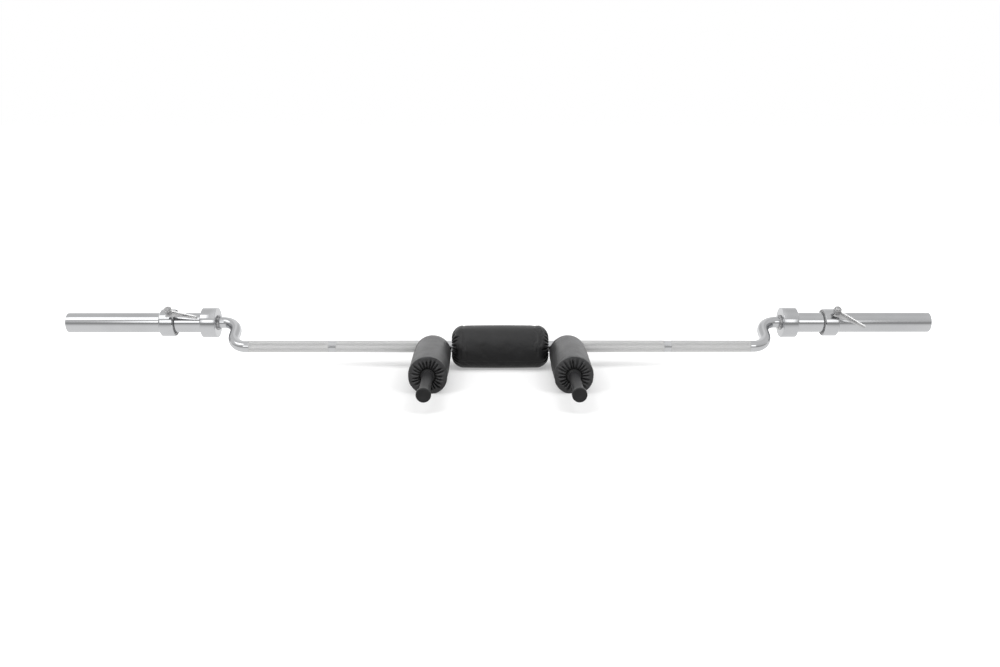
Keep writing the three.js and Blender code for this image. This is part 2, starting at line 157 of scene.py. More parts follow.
def fullTurn(count):  # angles spread evenly round a circle
    return np.linspace(0, 2 * math.pi, count, endpoint=False)


def roundBar(x, axis, radius, turn):  # x, axis + radius (cos turn, sin turn)
    parts = np.broadcast_arrays(x, axis[0] + radius * np.cos(turn), axis[1] + radius * np.sin(turn))
    return np.stack(parts, -1)


def roundArm(middle, y, radius, turn):  # middle + radius cos turn, y, height of the arms + radius sin turn
    return np.stack([middle + radius * np.cos(turn), y, armZ + radius * np.sin(turn)], -1)


def placedMatrix(right, ahead, up, place):  # three axes and a place
    matrix = np.eye(4)
    matrix[:3, 0], matrix[:3, 1], matrix[:3, 2], matrix[:3, 3] = right, ahead, up, place
    return Matrix(matrix.tolist())


def smoothStep(values, low, high):  # 0 below low, 1 above high, an S between: 3t^2 - 2t^3
    share = np.clip((values - low) / (high - low), 0, 1)
    return share * share * (3 - 2 * share)


def boxOf(node):
    low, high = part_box(node)
    return np.array(low), np.array(high)


def middleOf(node):
    return sum(boxOf(node)) / 2


def endsOf(node):  # a round node's end nearest the middle of the bar, its outer end, and its radius
    low, high = boxOf(node)
    return *sorted((low[0], high[0]), key=abs), (high[2] - low[2]) / 2


def gridFaces(rows, columns, wrapRows):  # four-sided faces of a grid whose columns close round
    row = np.arange(rows if wrapRows else rows - 1)[:, None]
    column = np.arange(columns)[None, :]
    above = (row + 1) % rows
    beside = (column + 1) % columns
    corners = [row * columns + column, row * columns + beside,
               above * columns + beside, above * columns + column]
    return np.stack([np.broadcast_to(c, (len(row), columns)) for c in corners], -1).reshape(-1, 4)


def gridMesh(grid, wrapRows=False):  # closed skin over rings of points; a ring of no radius is a pole
    rows, columns = grid.shape[:2]
    mesh = bpy.data.meshes.new("skin")
    mesh.from_pydata(grid.reshape(-1, 3), [], gridFaces(rows, columns, wrapRows))
    return mesh


def outward(mesh):  # merges doubled points, such as those at a pole, and turns the faces out
    body = bmesh.new()
    body.from_mesh(mesh)
    bmesh.ops.remove_doubles(body, verts=body.verts, dist=2e-6)
    bmesh.ops.dissolve_degenerate(body, edges=body.edges, dist=1e-7)
    bmesh.ops.recalc_face_normals(body, faces=body.faces)
    if body.calc_volume(signed=True) < 0:
        bmesh.ops.reverse_faces(body, faces=body.faces)
    body.to_mesh(mesh)
    body.free()


def addPiece(name, mesh, finish, body, replaced=(), sharp=32, finished=False):
    mesh.name = name
    if not finished:
        outward(mesh)
    mesh.shade_smooth()
    if sharp:
        mesh.set_sharp_from_angle(angle=math.radians(sharp))
    mesh.materials.append(finish)
    piece = linked(name, mesh)
    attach(piece, body)
    if replaced:
        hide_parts(*replaced)
    return piece


def rounded(corners, closed, steps=6):
    # outline through (station, radius, fillet) corners: each fillet is an arc that touches both its edges,
    # centre = corner + unit of (unit to previous + unit to next) * fillet / sin(half the angle)
    points = np.array([c[:2] for c in corners], float)
    made = []
    for i, (point, fillet) in enumerate(zip(points, (c[2] for c in corners))):
        if fillet <= 0 or (not closed and i in (0, len(points) - 1)):
            made.append(point[None])
            continue
        back = unit(points[i - 1] - point)
        ahead = unit(points[(i + 1) % len(points)] - point)
        half = math.acos(np.clip(back @ ahead, -1, 1)) / 2
        centre = point + unit(back + ahead) * fillet / math.sin(half)
        first = point + back * fillet / math.tan(half) - centre
        last = point + ahead * fillet / math.tan(half) - centre
        share = np.linspace(0, 1, steps)[:, None]
        arc = first * (1 - share) + last * share
        made.append(centre + arc / np.linalg.norm(arc, axis=1, keepdims=True) * fillet)
    return np.concatenate(made)


def turnedGrid(outline, origin, along, up, turns):
    # surface of revolution: origin + station * along + radius * (cos turn * side + sin turn * up)
    origin, along, up = np.array(origin, float), np.array(along, float), np.array(up, float)
    side = np.cross(up, along)
    turn = fullTurn(turns)
    spoke = np.cos(turn)[:, None] * side + np.sin(turn)[:, None] * up
    return origin + outline[:, 0, None, None] * along + outline[:, 1, None, None] * spoke


def turned(corners, origin, along, up, turns=96, steps=6):
    # corners that end where they start make a ring, and others are closed by their poles
    closed = corners[0][:2] == corners[-1][:2]
    outline = rounded(corners[:-1] if closed else corners, closed, steps)
    return gridMesh(turnedGrid(outline, origin, along, up, turns), closed)


# Places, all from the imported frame

sleeveAxis = middleOf("right_sleeve_tube")[1:]
sleeveRadius = endsOf("right_sleeve_tube")[2]
neckLow, neckHigh = boxOf("neck_pad_cover")
neckRadius = (neckHigh[1] - neckLow[1]) / 2
shaftAxis = np.array([(neckLow[1] + neckHigh[1]) / 2, neckHigh[2] - neckRadius])
armX, _, armZ = middleOf("right_arm")
flangeInner, flangeOuter, _ = endsOf("right_plate_flange")
alongBar = (1, 0, 0)
upward = (0, 0, 1)
sleeveOrigin = (0, *sleeveAxis)
print("scene: frame read, shaft axis", shaftAxis.round(4), "sleeve axis", sleeveAxis.round(4))


# Finishes

def table(heading, rows):  # one dictionary a row, with the words of the heading as its keys
    return {name: dict(zip(heading.split(), row)) for name, row in rows.items()}


chromeLook = {
    "tint": (0.585, 0.59, 0.6), "dull": (0.53, 0.535, 0.545), "cloudScale": 9, "smudge": 0.05,
    "scratchScale": 26, "scratchDull": 0.03, "scratchBump": 0.12, "scratchDepth": 0.00002,
    # roughness, and the stretch of the scratches: drawn along the rod, turned round the sleeves
    "bar": (0.09, (3, 60, 60)), "sleeve": (0.085, (80, 4, 4)),
}


def makeChrome(part, look):
    finish = Finish(f"{part}_chrome")
    roughness, stretch = look[part]
    cloud = finish.noise(look["cloudScale"], 4)
    scratch = finish.noise(look["scratchScale"], 2, stretch, 0.6)
    tint = finish.colour(cloud.between(0.35, 0.7), look["tint"], look["dull"])
    smudge = look["smudge"] * cloud.between(0.45, 0.75)
    polish = roughness + smudge + scratch.between(0.45, 0.75) * look["scratchDull"]
    bump = finish.bump(scratch, look["scratchBump"], look["scratchDepth"])
    return finish.principled({"Base Color": tint, "Metallic": 1.0, "Roughness": polish, "Normal": bump})


knurlLook = {
    # tints at the tips and down in the grooves: a painted shade by depth
    "litPeak": (0.87, 0.87, 0.865), "groove": (0.52, 0.52, 0.52), "depth": 0.00042, "roughness": 0.4,
    "grooveDull": 0.16, "cloudScale": 14, "cloudDull": 0.05,
}


def makeKnurlChrome(look, baseRadius):
    finish = Finish("knurled_chrome")
    centred = {"Vector": finish.place, "Location": (0, -shaftAxis[0], -shaftAxis[1]), "Scale": (0, 1, 1)}
    spoke = finish.add("ShaderNodeMapping", {}, centred)
    radius = finish.add("ShaderNodeVectorMath", {"operation": "LENGTH"}, [spoke], "Value")
    height = radius.between(baseRadius - look["depth"] * 0.3, baseRadius + look["depth"])
    cloud = finish.noise(look["cloudScale"], 3)
    # painted shade: the colour darkens from the tips down into the grooves, standing in for the shade there
    tint = finish.colour(height, look["groove"], look["litPeak"])
    polish = look["roughness"] + (1 - height) * look["grooveDull"]
    polish = polish + cloud.between(0.4, 0.7) * look["cloudDull"]
    return finish.principled({"Base Color": tint, "Metallic": 1.0, "Roughness": polish})


steelLook = table("light dark roughness grain depth metal", {
    "cast": ((0.57, 0.57, 0.57), (0.47, 0.47, 0.475), 0.28, 1560, 0.00002, 1.0),
    # rib: a lighter, less metallic copy of the cast steel for the top of the lever's rib, a painted highlight
    "rib": ((0.88, 0.88, 0.88), (0.76, 0.76, 0.76), 0.3, 1560, 0.00001, 0.35),
    "weld": ((0.56, 0.56, 0.56), (0.25, 0.25, 0.26), 0.38, 1260, 0.00012, 1.0),
    "innerFace": ((0.5, 0.5, 0.5), (0.42, 0.42, 0.425), 0.5, 900, 0.00004, 0.5),
    "bare": ((0.5, 0.5, 0.51), (0.33, 0.33, 0.34), 0.36, 900, 0.00005, 1.0),
})
blotchScale, blotchDull = 130, 0.14


def makeSteel(part, looks):
    look = looks[part]
    finish = Finish(f"{part}_steel")
    blotch = finish.noise(blotchScale, 4)
    grain = finish.noise(look["grain"], 3)
    tint = finish.colour(blotch.between(0.35, 0.68), look["light"], look["dark"])
    polish = look["roughness"] + blotch.between(0.3, 0.7) * blotchDull
    bump = finish.bump(grain, 0.5, look["depth"])
    return finish.principled({
        "Base Color": tint, "Metallic": look["metal"], "Roughness": polish, "Normal": bump})


vinylLook = table("base worn roughness grain depth coat", {
    "black": ((0.008, 0.008, 0.0085), (0.013, 0.013, 0.0137), 0.42, 900, 0.00011, 0.05),
    "grey": ((0.04, 0.04, 0.0412), (0.052, 0.052, 0.0532), 0.4, 1100, 0.0001, 0.0),
})
mottleScale, mottleDull, pebbleShine, creaseFiner, coatRoughness = 38, 0.1, 0.06, 1.6, 0.34


def makeVinyl(shade, looks):  # pebbled grain: small cells with sunk edges, over faint mottling
    look = looks[shade]
    finish = Finish(f"{shade}_vinyl")
    mottle = finish.noise(mottleScale, 4)
    pebble = finish.cells(look["grain"])
    crease = finish.noise(look["grain"] * creaseFiner, 3)
    tint = finish.colour(mottle.between(0.35, 0.7), look["base"], look["worn"])
    polish = look["roughness"] + mottle.between(0.3, 0.75) * mottleDull
    polish = polish - pebble.between(0.0, 0.4) * pebbleShine
    bump = finish.bump(pebble.between(0.0, 0.32) + crease * 0.3, 0.55, look["depth"])
    return finish.principled({
        "Base Color": tint, "Roughness": polish, "Normal": bump, "Coat Weight": look["coat"],
        "Coat Roughness": coatRoughness})


rubberLook = table("base dust roughness grain depth shine", {
    "grip": ((0.014, 0.014, 0.0148), (0.022, 0.022, 0.0228), 0.4, 1500, 0.00009, 0.4),
    "elastic": ((0.006, 0.006, 0.0065), (0.012, 0.012, 0.0125), 0.8, 2200, 0.0002, 0.5),
    "foam": ((0.05, 0.05, 0.052), (0.085, 0.085, 0.086), 0.95, 700, 0.0006, 0.5),
    "shoe": ((0.02, 0.02, 0.021), (0.032, 0.032, 0.033), 0.5, 900, 0.00006, 0.5),
})
dustScale, grainDull = 60, 0.12


def makeRubber(name, look):
    finish = Finish(name)
    cloud = finish.noise(dustScale, 4)
    grain = finish.noise(look["grain"], 3, roughness=0.65)
    tint = finish.colour(cloud.between(0.35, 0.75), look["base"], look["dust"])
    polish = look["roughness"] + grain.between(0.35, 0.7) * grainDull
    bump = finish.bump(grain, 0.5, look["depth"])
    return finish.principled({
        "Base Color": tint, "Roughness": polish, "Normal": bump, "Specular IOR Level": look["shine"]})


smoothRadius = 0.014  # of the bar where it isn't knurled
barChrome = makeChrome("bar", chromeLook)
sleeveChrome = makeChrome("sleeve", chromeLook)
knurlChrome = makeKnurlChrome(knurlLook, smoothRadius)
castSteel = makeSteel("cast", steelLook)
ribHighlightSteel = makeSteel("rib", steelLook)
weldSteel = makeSteel("weld", steelLook)
bareSteel = makeSteel("bare", steelLook)
innerFaceSteel = makeSteel("innerFace", steelLook)
blackVinyl = makeVinyl("black", vinylLook)
greyVinyl = makeVinyl("grey", vinylLook)
gripRubber = makeRubber("grip_rubber", rubberLook["grip"])
elasticCord = makeRubber("elastic_cord", rubberLook["elastic"])
foamCore = makeRubber("foam_core", rubberLook["foam"])
shoePlastic = makeRubber("shoe_plastic", rubberLook["shoe"])

nodeFinishes = {"spacer": bareSteel, "shoe": shoePlastic}  # the CAD nodes that stay
for node, cadPiece in frame["nodes"].items():
    for word, finish in nodeFinishes.items():
        if word in node:
            cadPiece.data.materials.clear()
            cadPiece.data.materials.append(finish)
print("scene: finishes made")


# The bar: one bent rod, with knurled bands on its straight run

barShape = {
    "bendRadius": 0.034, "bendAngle": math.radians(92), "stub": 0.015, "insert": 0.022,
    "bendSteps": 40, "turns": 72,
}


def barCentreline(shape):
    # half the bar in its own plane: straight, arc, straight, arc, straight;
    # an arc is (start + R sin t, R (1 - cos t)), and the second one is the first turned by half a turn
    offset = np.linalg.norm(sleeveAxis - shaftAxis)
    radius, angle = shape["bendRadius"], shape["bendAngle"]
    drop, run = radius * (1 - math.cos(angle)), radius * math.sin(angle)
    middle = (offset - 2 * drop) / math.sin(angle)
    reach = 2 * run + middle * math.cos(angle)
    start = flangeInner - shape["stub"] - reach
    turn = np.linspace(0, angle, shape["bendSteps"])
    first = np.stack([start + radius * np.sin(turn), radius * (1 - np.cos(turn))], -1)
    second = np.array([2 * start + reach, offset]) - first[::-1]
    ends = np.array([[flangeOuter + shape["insert"], offset]])
    half = np.concatenate([first, second, ends])
    tilt = np.concatenate([turn, turn[::-1], [0]])
    places = np.concatenate([half[::-1] * [-1, 1], half])
    tilts = np.concatenate([-tilt[::-1], tilt])
    return places, tilts, start


def buildBar(shape):
    # tube about a plane curve: centre + r (cos a * normal in the plane + sin a * normal of the plane)
    places, tilts, start = barCentreline(shape)
    rise = unit(sleeveAxis - shaftAxis)
    across = np.array([0, rise[0], rise[1]])
    centre = places[:, :1] * np.array([1, 0, 0]) + places[:, 1:] * across + [0, shaftAxis[0], shaftAxis[1]]
    normal = -np.sin(tilts)[:, None] * np.array([1, 0, 0]) + np.cos(tilts)[:, None] * across
    beside = np.cross([1, 0, 0], across)
    turn = fullTurn(shape["turns"])
    spoke = np.cos(turn)[None, :, None] * normal[:, None] + np.sin(turn)[None, :, None] * beside
    grid = centre[:, None] + smoothRadius * spoke
    capped = np.concatenate([np.repeat(centre[:1, None], len(turn), 1), grid,
                             np.repeat(centre[-1:, None], len(turn), 1)])
    addPiece("bar_rod", gridMesh(capped), barChrome, "bar", ["bar_shaft"])
    return start


knurlShape = {
    "starts": 44, "pitch": 0.0034, "height": 0.00042, "from": 0.19, "markSpacing": 0.81, "markWidth": 0.017,
    "endMargin": 0.0085, "proud": 0.00002, "under": 0.0004,
}


def knurlBand(name, low, high, shape):
    # crossed grooves: on a grid of half pitches every other point is the tip of a pyramid and the rest are
    # valleys, and each face is split from valley to valley
    rows = 2 * int(round((high - low) / shape["pitch"])) + 1
    columns = 2 * shape["starts"]
    station = np.linspace(low, high, rows)
    parity = (np.arange(rows)[:, None] + np.arange(columns)[None, :]) % 2
    edge = np.clip(np.minimum(np.arange(rows), np.arange(rows)[::-1]) / 2, 0, 1)[:, None]
    radius = smoothRadius + shape["proud"] + shape["height"] * parity * edge
    turn = fullTurn(columns)
    skin = roundBar(station[:, None], shaftAxis, radius, turn)
    under = roundBar(station[[-1, 0], None], shaftAxis, smoothRadius - shape["under"], turn)
    whole = np.concatenate([skin, under])
    faces = gridFaces(len(whole), columns, True)
    row, column = faces[:, 0] // columns, faces[:, 0] % columns
    valleyFirst = ((row + column) % 2 == 0)[:, None]
    a, b, c, d = faces.T
    oneWay = np.stack([a, b, c, a, c, d], -1)
    otherWay = np.stack([a, b, d, b, c, d], -1)
    mesh = bpy.data.meshes.new(name)
    mesh.from_pydata(whole.reshape(-1, 3), [], np.where(valleyFirst, oneWay, otherWay).reshape(-1, 3))
    piece = addPiece(name, mesh, knurlChrome, "bar", sharp=0)
    piece.data.shade_flat()


bendStart = buildBar(barShape)
for side, word in sides:
    markInner = (knurlShape["markSpacing"] - knurlShape["markWidth"]) / 2
    markOuter = (knurlShape["markSpacing"] + knurlShape["markWidth"]) / 2
    bands = {
        "inner": (knurlShape["from"], markInner), "outer": (markOuter, bendStart - knurlShape["endMargin"])}
    for place, (near, far) in bands.items():
        knurlBand(f"{word}_knurl_{place}", *sorted((side * near, side * far)), knurlShape)
print("scene: bar and knurling made")


# Sleeves, flanges, plugs and the weld beads where the bar enters the flanges

sleeveShape = {
    "wall": 0.004, "endRound": 0.0024, "turns": 160, "flangeRound": 0.0026, "flangeInnerRound": 0.0018,
    "fit": 0.0003, "webDepth": 0.01, "plugDish": 0.0006, "plugTurns": 96,
}


def buildSleeve(side, word, shape):
    near, far, _ = endsOf(f"{word}_sleeve_tube")
    inner = sleeveRadius - shape["wall"]
    stations = np.linspace(near, far, 24)[1:-1]
    tube = [(near, inner, 0), (near, sleeveRadius, 0.0004)]
    tube += [(station, sleeveRadius, 0) for station in stations]
    tube += [(far, sleeveRadius, shape["endRound"]), (far, inner, 0.0008), (near, inner, 0)]
    mesh = turned(tube, sleeveOrigin, alongBar, upward, shape["turns"])
    addPiece(f"{word}_sleeve", mesh, sleeveChrome, "bar", [f"{word}_sleeve_tube"])

    near, far, radius = endsOf(f"{word}_plate_flange")
    bore = smoothRadius + shape["fit"]
    seat = sleeveRadius + shape["fit"]
    web = near + side * shape["webDepth"]
    flange = [
        (near, bore, 0.0004), (near, radius, shape["flangeInnerRound"]), (far, radius, shape["flangeRound"]),
        (far, seat, 0.0008), (web, seat, 0), (web, bore, 0), (near, bore, 0.0004),
    ]
    mesh = turned(flange, sleeveOrigin, alongBar, upward, shape["turns"], 8)
    addPiece(f"{word}_flange", mesh, sleeveChrome, "bar", [f"{word}_plate_flange"])

    near, far, radius = endsOf(f"{word}_sleeve_plug")
    dish = far - side * shape["plugDish"]
    plug = [
        (near, 0, 0), (near, radius, 0.0006), (far, radius, 0.0009), (far, radius * 0.82, 0.0006),
        (dish, radius * 0.78, 0.0006), (dish, 0, 0),
    ]
    mesh = turned(plug, sleeveOrigin, alongBar, upward, shape["plugTurns"])
    addPiece(f"{word}_plug", mesh, bareSteel, "bar", [f"{word}_sleeve_plug"])


beadShape = {
    "lumps": 7, "section": 0.0037, "swell": 0.2, "ripples": 34, "rippleDepth": 0.00022, "turns": 288,
    "rings": 40, "out": 0.0006, "foot": 0.0003, "width": 1.1,
}


def beadRing(seed, shape):
    # turns round the joint, turns round the bead, and its thickness: uneven lumps with fine ripples
    turn = fullTurn(shape["turns"])[:, None]
    lumps = np.abs(np.sin(shape["lumps"] * turn / 2 + seed)) ** 0.7
    drift = 0.12 * np.sin(3 * turn + 2 * seed) + 0.08 * np.sin(5 * turn + seed)
    ripple = shape["rippleDepth"] * np.sin(shape["ripples"] * turn + 3 * seed)
    section = shape["section"] * (1 - shape["swell"] + shape["swell"] * lumps + drift * 0.6) + ripple
    return turn, fullTurn(shape["rings"])[None, :], section


def buildFlangeWeld(side, word, shape):
    # ring: centre line at the rod's skin, section r(turn) round it
    foot = endsOf(f"{word}_flange_weld")[1]
    turn, ring, section = beadRing(0.4 + side, shape)
    radius = smoothRadius + shape["out"] + section * np.cos(ring)
    x = foot - side * shape["foot"] - side * section * shape["width"] * np.sin(ring)
    mesh = gridMesh(roundBar(x, sleeveAxis, radius, turn), True)
    addPiece(f"{word}_flange_bead", mesh, weldSteel, "bar", [f"{word}_flange_weld"], 0)


for side, word in sides:
    buildSleeve(side, word, sleeveShape)
    buildFlangeWeld(side, word, beadShape)
print("scene: sleeves, flanges and flange welds made")


# Lever collars

clampShape = {
    "ringChamfer": 0.0025, "edgeRound": 0.0006, "recessRadius": 0.0306, "recessDepth": 0.0011,
    "lip": 0.0004, "slide": 0.00045, "ringTurns": 160,
    "boreRadius": 0.0048, "shoeBoreRadius": 0.0063, "shoeBoreTop": 0.0303,
    "studRadius": 0.0045, "studFoot": 0.029, "shoulderRadius": 0.0075, "shoulderFoot": 0.0367,
    "shoulderHeight": 0.0024, "hubRadius": 0.0095, "hubFoot": 0.0416, "hubWaist": 0.003, "hubTop": 0.0536,
    "capRadius": 0.0072, "capFoot": 0.0539, "capSide": 0.0016, "capTop": 0.0573, "capDish": 0.0009,
    "capShares": (0.62, 0.3, 0.24),
    # how far down from the bar each lever points
    "turns": {"left": math.radians(15), "right": math.radians(42)},
}
leverShape = {
    "length": 0.076, "foot": 0.0419, "thickness": 0.004, "rootWidth": 0.02, "ribHalf": 0.0019,
    "ribTop": 0.0499,
    # the web's lower edge: shares of the length, and of the root's width
    "edgeShares": ((0, 0.02, 0.28, 0.62, 1), (0.9, 0.9, 0.5, 0.32, 0.15)),
    "slot": (0.0403, 0.0503), "slotWidth": (-0.0047, -0.0025), "overlap": 0.0005, "webEnd": 0.0006,
    # voxel and smoothing shape the casting; faces higher above the web's top than the last number take the
    # lighter rib steel, a painted highlight
    "voxel": 0.00042, "smoothing": 3, "paintedHighlight": 0.0012,
}
screwFrame = {"origin": (0, 0, 0), "along": (0, 0, 1), "up": (0, 1, 0)}


def leverMatrix(word):  # X along the lever, Z along the screw, from the sleeve's axis
    joint = next(j for j in frame["joints"] if j["name"] == f"{word}_lever_turn")
    screw = np.array(joint["axis"])
    down = np.cross(alongBar, screw)
    turn = clampShape["turns"][word]
    along = math.cos(turn) * np.array(alongBar) + math.sin(turn) * down
    return placedMatrix(along, np.cross(screw, along), screw, (joint["pos_m"][0], *sleeveAxis))


def buildRing(side, word, shape):
    # ring with a shallow recess in its inner face, drilled for the screw and its shoe
    near, far, radius = endsOf(f"{word}_collar_ring")
    bore = sleeveRadius + shape["slide"]
    chamfer, edge = shape["ringChamfer"], shape["edgeRound"]
    recess = near + side * shape["recessDepth"]
    stations = np.linspace(near + side * chamfer * 2, far - side * chamfer * 2, 12)
    ring = [(recess, bore, 0.0003), (recess, shape["recessRadius"], 0.0004)]
    ring += [(near, shape["recessRadius"], 0.0004), (near, radius - chamfer, edge)]
    ring += [(near + side * chamfer, radius, edge)]
    ring += [(station, radius, 0) for station in stations]
    ring += [(far - side * chamfer, radius, edge), (far, radius - chamfer, edge), (far, bore, 0.0006)]
    ring += [(recess, bore, 0.0003)]
    mesh = turned(ring, sleeveOrigin, alongBar, upward, shape["ringTurns"])
    outward(mesh)
    bit = turned([
        (0, 0, 0), (0, shape["shoeBoreRadius"], 0), (shape["shoeBoreTop"], shape["shoeBoreRadius"], 0),
        (shape["shoeBoreTop"], shape["boreRadius"], 0), (shape["hubFoot"], shape["boreRadius"], 0),
        (shape["hubFoot"], 0, 0)], turns=48, **screwFrame)
    outward(bit)
    bit.transform(leverMatrix(word))
    tool, blank = linked("bit", bit), linked("blank", mesh)
    drill = blank.modifiers.new("bore", "BOOLEAN")
    drill.object = tool
    drill.solver = "EXACT"
    drilled = modified(blank)
    for each in (tool, blank):
        bpy.data.objects.remove(each)
    body = f"{word}_collar"
    addPiece(f"{word}_ring", drilled, sleeveChrome, body, [f"{word}_collar_ring"], finished=True)
    drilled.materials.append(innerFaceSteel)
    centres = np.array([polygon.center for polygon in drilled.polygons])
    radii = np.hypot(centres[:, 1] - sleeveAxis[0], centres[:, 2] - sleeveAxis[1])
    depth = (centres[:, 0] - near) * side
    # the whole inner face, from the bore to its chamfer, takes a duller, less metallic grey than the chrome
    onInnerFace = (radii < radius - chamfer * 0.7) & (depth < shape["recessDepth"] + shape["lip"])
    drilled.polygons.foreach_set("material_index", onInnerFace.astype(np.int32))


def prism(outline, low, high):  # straight prism over a flat outline
    count = len(outline)
    flat = np.array(outline)
    points = np.concatenate([np.column_stack([flat, np.full(count, level)]) for level in (low, high)])
    walls = [(i, (i + 1) % count, count + (i + 1) % count, count + i) for i in range(count)]
    mesh = bpy.data.meshes.new("prism")
    mesh.from_pydata(points, [], [tuple(range(count))[::-1], tuple(range(count, 2 * count)), *walls])
    outward(mesh)
    return mesh


def strip(low, high, bottom, top, steps=12):  # outline between two curves y(x), from x low to x high
    x = np.linspace(low, high, steps)
    return [*zip(x, bottom(x)), *zip(x[::-1], top(x[::-1]))]


def castMesh(shells, voxel, smoothing):  # one skin round overlapping shells, with a casting's soft corners
    body = bmesh.new()
    for shell in shells:
        body.from_mesh(shell)
    mesh = bpy.data.meshes.new("casting")
    body.to_mesh(mesh)
    body.free()
    blank = linked("casting", mesh)
    skin = blank.modifiers.new("skin", "REMESH")
    skin.mode = "VOXEL"
    skin.voxel_size = voxel
    soften = blank.modifiers.new("soften", "SMOOTH")
    soften.factor = 0.5
    soften.iterations = smoothing
    made = modified(blank)
    bpy.data.objects.remove(blank)
    return made


def buildLever(word, clamp, shape):
    # lever: a tapered web with a slot, a rib and a hub, cast in one; then the screw and the cap over it
    matrix = leverMatrix(word)
    body = f"{word}_lever"
    length, overlap = shape["length"], shape["overlap"]
    edge = np.array(shape["edgeShares"][1]) * -shape["rootWidth"]
    places = np.array(shape["edgeShares"][0]) * length

    def lowEdge(x):
        return np.interp(x, places, edge)

    def level(value):
        return lambda x: np.full(len(x), value)

    slotLow, slotHigh = shape["slot"]
    low, high = shape["slotWidth"]
    foot, top = shape["foot"], shape["foot"] + shape["thickness"]
    web = [
        strip(0.0, slotLow, lowEdge, level(0.0)),
        strip(slotLow - overlap, slotHigh + overlap, lowEdge, level(low)),
        strip(slotLow - overlap, slotHigh + overlap, level(high), level(0.0)),
        strip(slotHigh, length - shape["webEnd"], lowEdge, level(0.0)),
    ]
    shells = [prism(outline, foot, top) for outline in web]
    rib = strip(0.0, length, level(-shape["ribHalf"]), level(shape["ribHalf"]))
    shells.append(prism(rib, foot, shape["ribTop"]))
    hubFoot, hubRadius = clamp["hubFoot"], clamp["hubRadius"]
    hubWaist = hubFoot + clamp["hubWaist"]
    hub = turned([
        (hubFoot, 0, 0), (hubFoot, hubRadius - 0.0008, 0.0006), (hubWaist, hubRadius, 0.001),
        (clamp["hubTop"], hubRadius, 0.0016), (clamp["hubTop"], 0, 0)], turns=64, **screwFrame)
    outward(hub)
    shells.append(hub)
    mesh = castMesh(shells, shape["voxel"], shape["smoothing"])
    centres = np.array([polygon.center for polygon in mesh.polygons])
    # the rib's top and upper walls take the lighter rib steel: a painted highlight on the one cast piece
    paintedHighlight = (centres[:, 2] > top + shape["paintedHighlight"]) & (centres[:, 0] > hubRadius)
    mesh.transform(matrix)
    addPiece(f"{word}_lever_arm", mesh, castSteel, body, [f"{word}_clamp_lever"], 0, True)
    mesh.materials.append(ribHighlightSteel)
    mesh.polygons.foreach_set("material_index", paintedHighlight.astype(np.int32))

    def screwPiece(part, node, corners):
        made = turned(corners, turns=64, **screwFrame)
        made.transform(matrix)
        addPiece(f"{word}_{part}", made, castSteel, body, [f"{word}_{node}"])

    studFoot, studRadius = clamp["studFoot"], clamp["studRadius"]
    shoulderFoot, shoulderRadius = clamp["shoulderFoot"], clamp["shoulderRadius"]
    shoulderTop = shoulderFoot + clamp["shoulderHeight"]
    screwPiece("stud", "clamp_screw", [
        (studFoot, 0, 0), (studFoot, studRadius, 0.0005), (shoulderFoot, studRadius, 0.0003),
        (shoulderFoot, shoulderRadius, 0.0005), (shoulderTop, shoulderRadius, 0.0005),
        (shoulderTop, studRadius, 0.0003), (hubWaist, studRadius, 0), (hubWaist, 0, 0)])

    radius, capFoot, capTop = clamp["capRadius"], clamp["capFoot"], clamp["capTop"]
    dish = capTop - clamp["capDish"]
    crown, rim, pit = np.array(clamp["capShares"]) * radius
    screwPiece("cap", "lever_cap", [
        (capFoot, 0, 0), (capFoot, radius, 0.0003), (capFoot + clamp["capSide"], radius, 0.0009),
        (capTop, crown, 0.0012), (capTop, rim, 0.0004), (dish, pit, 0.0004), (dish, 0, 0)])


for side, word in sides:
    buildRing(side, word, clampShape)
    buildLever(word, clampShape, leverShape)
print("scene: collars and levers made")


# Arms and their welds on the bar

armShape = {
    "endRound": 0.0015, "least": 0.006, "gap": 0.0003, "rings": 40, "turns": 96,
    "beadOut": 0.0004, "beadFoot": 0.0008, "beadLeast": 0.45, "beadSwell": 0.4, "beadRun": 0.005,
}
armRadius = np.ptp(boxOf("right_arm"), axis=0)[0] / 2


def saddle(turn, radius):
    # how far in front of the shaft's axis the rod meets the bar, all round the rod:
    # sqrt(radius of the bar^2 - height above its axis^2)
    height = armZ + radius * np.sin(turn) - shaftAxis[1]
    return np.sqrt(np.maximum((smoothRadius + armShape["gap"]) ** 2 - height ** 2, armShape["least"] ** 2))


